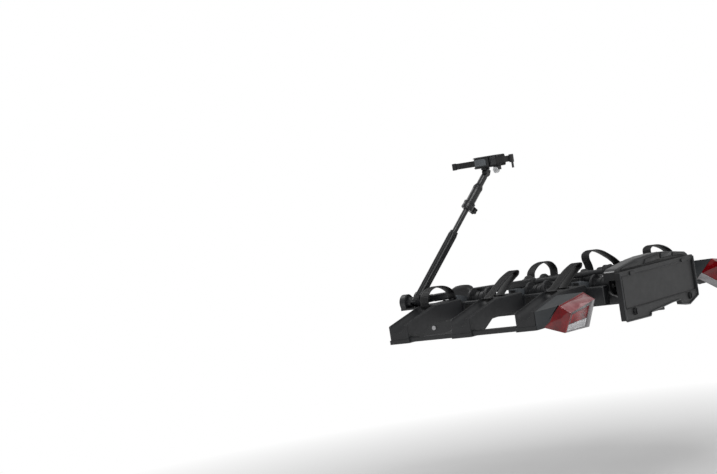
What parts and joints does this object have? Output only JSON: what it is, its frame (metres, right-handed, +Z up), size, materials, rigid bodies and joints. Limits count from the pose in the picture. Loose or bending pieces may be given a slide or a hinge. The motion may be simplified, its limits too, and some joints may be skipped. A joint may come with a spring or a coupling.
{
  "type": "hitch bike rack",
  "caption": "Folding platform bike carrier for a tow ball, with ramped wheel trays on two wings, telescopic frame arms, tail lights and a plate panel.",
  "frame": {"origin": "centre of the tow ball in the coupling's socket", "axes": "+X to the vehicle's right along the wheel trays, +Y towards the vehicle, +Z up"},
  "size_m": [1.244, 1.0258, 0.6179],
  "materials": {
    "black_casting": "black powder coat, satin",
    "bright_steel": "zinc plated",
    "black_tube": "black anodised, satin",
    "black_plastic": "fine moulded grain",
    "tray_plastic": "fine moulded grain",
    "slate_plastic": "fine moulded grain",
    "lever_plastic": "satin blue grey",
    "strap_rubber": "ribbed rubber",
    "chrome": "polished",
    "red_lens": "clear red moulded lens",
    "clear_lens": "clear ribbed lens"
  },
  "bodies": {
    "coupling": {"coupling_housing": "black_casting", "coupling_ball_cup": "bright_steel"},
    "coupling_lever": {"coupling_lever": "black_casting"},
    "platform": {"centre_beam": "black_casting", "tilt_pin": "bright_steel", "hinge_brackets": "black_casting", "arm_base": "black_casting", "panel_support": "black_casting", "number_plate_panel": "black_plastic", "rear_cover": "black_plastic", "plate_clips": "black_plastic", "left_hinge_pins": "bright_steel", "right_hinge_pins": "bright_steel"},
    "foot_pedal": {"foot_pedal": "black_plastic"},
    "left_wing": {"left_wing_beam": "black_tube", "left_wheel_tray_1": "tray_plastic", "left_wheel_tray_2": "tray_plastic", "left_wheel_tray_3": "tray_plastic", "left_tray_link_bars": "tray_plastic", "left_wheel_buckles": "black_plastic", "left_wheel_straps": "strap_rubber", "left_light_housing": "slate_plastic", "left_light_red_lens": "red_lens", "left_light_clear_lens": "clear_lens"},
    "right_wing": {"right_wing_beam": "black_tube", "right_wheel_tray_1": "tray_plastic", "right_wheel_tray_2": "tray_plastic", "right_wheel_tray_3": "tray_plastic", "right_tray_link_bars": "tray_plastic", "right_wheel_buckles": "black_plastic", "right_wheel_straps": "strap_rubber", "right_light_housing": "slate_plastic", "right_light_red_lens": "red_lens", "right_light_clear_lens": "clear_lens"},
    "raised_swivel": {"raised_arm_swivel": "black_casting", "raised_arm_pin": "bright_steel"},
    "raised_lower_arm": {"raised_arm_lower_tube": "black_tube"},
    "raised_upper_arm": {"raised_arm_inner_tube": "black_tube", "raised_arm_sleeve": "black_tube"},
    "raised_knob": {"raised_arm_knob": "black_plastic"},
    "holder_yoke": {"holder_yoke": "black_plastic"},
    "frame_holder": {"holder_body": "black_plastic", "holder_strap": "strap_rubber"},
    "holder_lever": {"holder_pump_lever": "lever_plastic"},
    "holder_lock": {"holder_key_lock": "chrome"},
    "stowed_swivel": {"stowed_arm_swivel": "black_casting", "stowed_arm_pin": "bright_steel"},
    "stowed_lower_arm": {"stowed_arm_lower_tube": "black_tube"},
    "stowed_upper_arm": {"stowed_arm_inner_tube": "black_tube", "stowed_arm_sleeve": "black_tube", "stowed_holder_yoke": "black_plastic", "stowed_holder_body": "black_plastic"},
    "stowed_knob": {"stowed_arm_knob": "black_plastic"},
    "stowed_lever": {"stowed_holder_pump_lever": "lever_plastic"},
    "left_lever_1": {"left_pump_lever_1": "lever_plastic"},
    "left_lever_2": {"left_pump_lever_2": "lever_plastic"},
    "left_lever_3": {"left_pump_lever_3": "lever_plastic"},
    "right_lever_1": {"right_pump_lever_1": "lever_plastic"},
    "right_lever_2": {"right_pump_lever_2": "lever_plastic"},
    "right_lever_3": {"right_pump_lever_3": "lever_plastic"}
  },
  "joints": [
    {"name": "deck_tilt", "type": "hinge", "parent": "coupling", "child": "platform", "pos_m": [0, -0.055, 0.004], "axis": [1, 0, 0], "range_deg": [0, 35]},
    {"name": "coupling_clamp", "type": "hinge", "parent": "coupling", "child": "coupling_lever", "pos_m": [0.06, 0.018, 0.034], "axis": [1, 0, 0], "range_deg": [0, 50]},
    {"name": "foot_pedal_press", "type": "hinge", "parent": "platform", "child": "foot_pedal", "pos_m": [0, -0.908, -0.014], "axis": [1, 0, 0], "range_deg": [0, 14], "stiffness_Nm_per_rad": 2, "springref_deg": -20.05},
    {"name": "left_wing_fold", "type": "hinge", "parent": "platform", "child": "left_wing", "pos_m": [-0.185, -0.59, 0.098], "axis": [0, 1, 0], "range_deg": [0, 90]},
    {"name": "right_wing_fold", "type": "hinge", "parent": "platform", "child": "right_wing", "pos_m": [0.185, -0.59, 0.098], "axis": [0, -1, 0], "range_deg": [0, 90]},
    {"name": "raised_arm_lean", "type": "hinge", "parent": "platform", "child": "raised_swivel", "pos_m": [-0.045, 0.011, 0.104], "axis": [0, 1, 0], "range_deg": [-66, 0]},
    {"name": "raised_arm_fold", "type": "hinge", "parent": "raised_swivel", "child": "raised_lower_arm", "pos_m": [-0.045, 0.011, 0.104], "axis": [0.8387, 0, -0.5446], "range_deg": [0, 64.7]},
    {"name": "raised_arm_slide", "type": "slide", "parent": "raised_lower_arm", "child": "raised_upper_arm", "axis": [0.505, -0.3746, 0.7776], "range_m": [-0.09, 0.1]},
    {"name": "raised_knob_turn", "type": "hinge", "parent": "raised_upper_arm", "child": "raised_knob", "pos_m": [0.17964, -0.13884, 0.40033], "axis": [0.8387, 0, -0.5446], "continuous": true},
    {"name": "holder_tilt", "type": "hinge", "parent": "raised_upper_arm", "child": "holder_yoke", "pos_m": [0.22769, -0.19129, 0.5239], "axis": [0.8387, 0, -0.5446], "range_deg": [-64.7, 0]},
    {"name": "holder_turn", "type": "hinge", "parent": "holder_yoke", "child": "frame_holder", "pos_m": [0.22769, -0.19129, 0.5239], "axis": [0, 0, 1], "range_deg": [-90, 0]},
    {"name": "holder_lever_lift", "type": "hinge", "parent": "frame_holder", "child": "holder_lever", "pos_m": [0.21269, -0.21929, 0.5539], "axis": [0, 0, 1], "range_deg": [0, 35]},
    {"name": "holder_key_turn", "type": "hinge", "parent": "frame_holder", "child": "holder_lock", "pos_m": [0.20769, -0.24729, 0.5289], "axis": [1, 0, 0], "range_deg": [0, 90]},
    {"name": "stowed_arm_lean", "type": "hinge", "parent": "platform", "child": "stowed_swivel", "pos_m": [0.045, 0.011, 0.104], "axis": [0, 1, 0], "range_deg": [0, 15]},
    {"name": "stowed_arm_fold", "type": "hinge", "parent": "stowed_swivel", "child": "stowed_lower_arm", "pos_m": [0.045, 0.011, 0.104], "axis": [1, 0, 0], "range_deg": [-45, 0]},
    {"name": "stowed_arm_slide", "type": "slide", "parent": "stowed_lower_arm", "child": "stowed_upper_arm", "axis": [0, -0.9995, 0.0332], "range_m": [-0.09, 0.005]},
    {"name": "stowed_lever_lift", "type": "hinge", "parent": "stowed_upper_arm", "child": "stowed_lever", "pos_m": [0.075, -0.82804, 0.14684], "axis": [1, 0, 0], "range_deg": [0, 35]},
    {"name": "stowed_knob_turn", "type": "hinge", "parent": "stowed_upper_arm", "child": "stowed_knob", "pos_m": [0.045, -0.73449, 0.10171], "axis": [0, -0.0332, -0.9995], "continuous": true},
    {"name": "left_lever_lift_1", "type": "hinge", "parent": "left_wing", "child": "left_lever_1", "pos_m": [-0.174, -0.29, 0.1], "axis": [0, 1, 0], "range_deg": [0, 40]},
    {"name": "left_lever_lift_2", "type": "hinge", "parent": "left_wing", "child": "left_lever_2", "pos_m": [-0.174, -0.535, 0.1], "axis": [0, 1, 0], "range_deg": [0, 40]},
    {"name": "left_lever_lift_3", "type": "hinge", "parent": "left_wing", "child": "left_lever_3", "pos_m": [-0.174, -0.78, 0.1], "axis": [0, 1, 0], "range_deg": [0, 40]},
    {"name": "right_lever_lift_1", "type": "hinge", "parent": "right_wing", "child": "right_lever_1", "pos_m": [0.174, -0.29, 0.1], "axis": [0, -1, 0], "range_deg": [0, 40]},
    {"name": "right_lever_lift_2", "type": "hinge", "parent": "right_wing", "child": "right_lever_2", "pos_m": [0.174, -0.535, 0.1], "axis": [0, -1, 0], "range_deg": [0, 40]},
    {"name": "right_lever_lift_3", "type": "hinge", "parent": "right_wing", "child": "right_lever_3", "pos_m": [0.174, -0.78, 0.1], "axis": [0, -1, 0], "range_deg": [0, 40]}
  ],
  "couplings": [
    {"joint": "holder_tilt", "follows": "raised_arm_fold", "ratio": -1}
  ]
}
